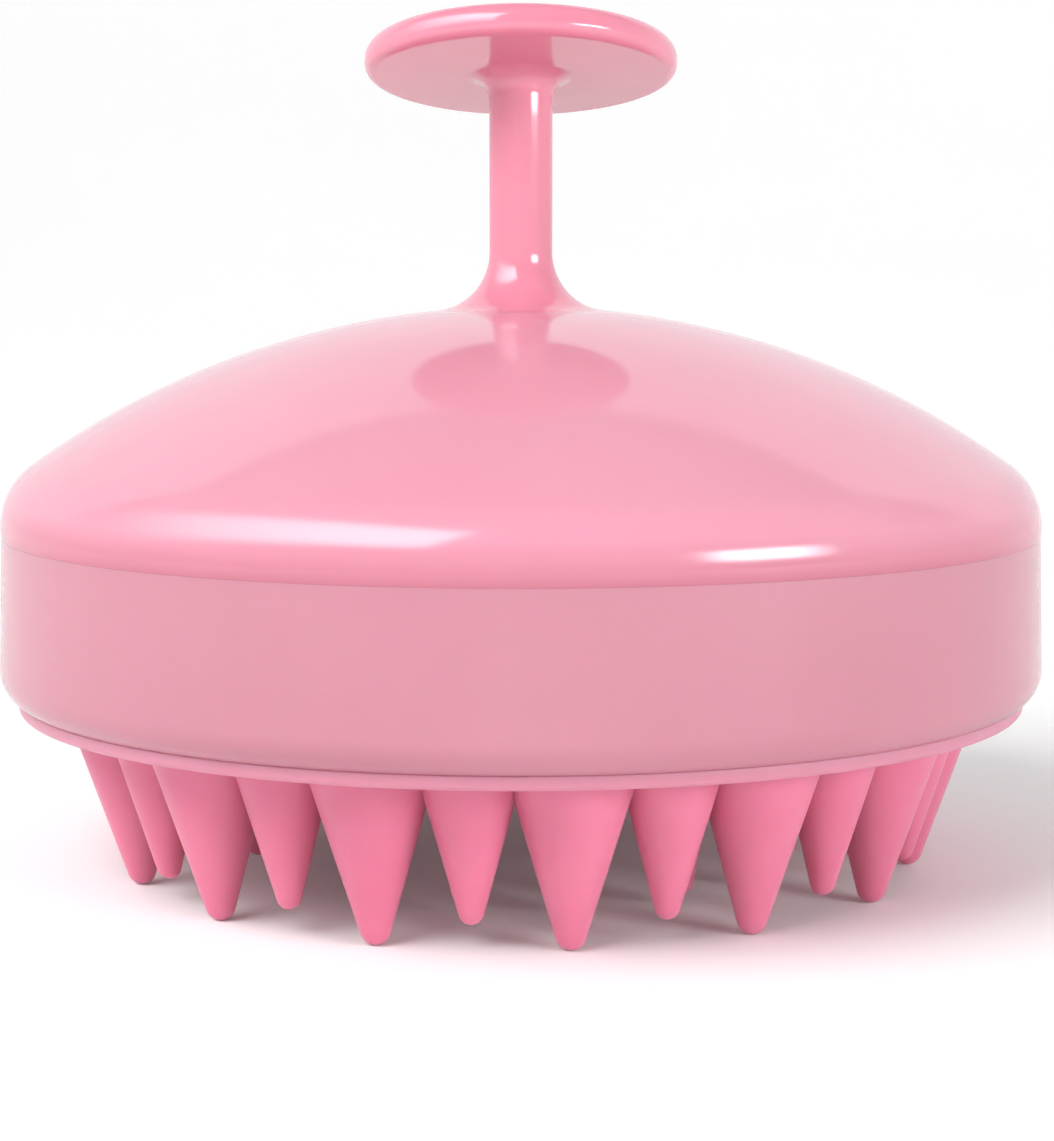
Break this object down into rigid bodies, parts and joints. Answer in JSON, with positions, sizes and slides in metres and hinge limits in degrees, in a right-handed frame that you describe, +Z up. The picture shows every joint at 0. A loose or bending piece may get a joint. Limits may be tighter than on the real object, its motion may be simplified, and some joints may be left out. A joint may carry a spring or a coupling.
{
  "type": "scalp massager brush",
  "caption": "Hand-held scalp massager brush: glossy dome with a stem and finger disc over a pull-off silicone bristle head.",
  "frame": {"origin": "on the brush's axis, in the plane of the longest bristle tips, where the brush stands", "axes": "+Z up the brush's axis towards the finger disc; -Y is the front, under the raised edge of the disc"},
  "size_m": [0.0888, 0.0888, 0.0724],
  "materials": {
    "dome_plastic": "pink ABS, high gloss",
    "band_plastic": "pink ABS, gloss",
    "handle_plastic": "pink ABS, high gloss",
    "plate_plastic": "natural ABS, as moulded",
    "pad_silicone": "satin silicone, slightly translucent",
    "screw_steel": "zinc-plated",
    "washer_steel": "zinc-plated, stamped"
  },
  "bodies": {
    "housing": {"dome_cover": "dome_plastic", "skirt_ring": "band_plastic", "skirt_screws": "screw_steel", "handle": "handle_plastic", "handle_screw": "screw_steel", "screw_washer": "washer_steel"},
    "brush_head": {"carrier_plate": "plate_plastic", "bristle_pad": "pad_silicone", "outer_bristles": "pad_silicone", "inner_bristles": "pad_silicone"}
  },
  "joints": [
    {"name": "head_release", "type": "slide", "parent": "housing", "child": "brush_head", "axis": [0, 0, -1], "range_m": [0, 0.02]}
  ]
}
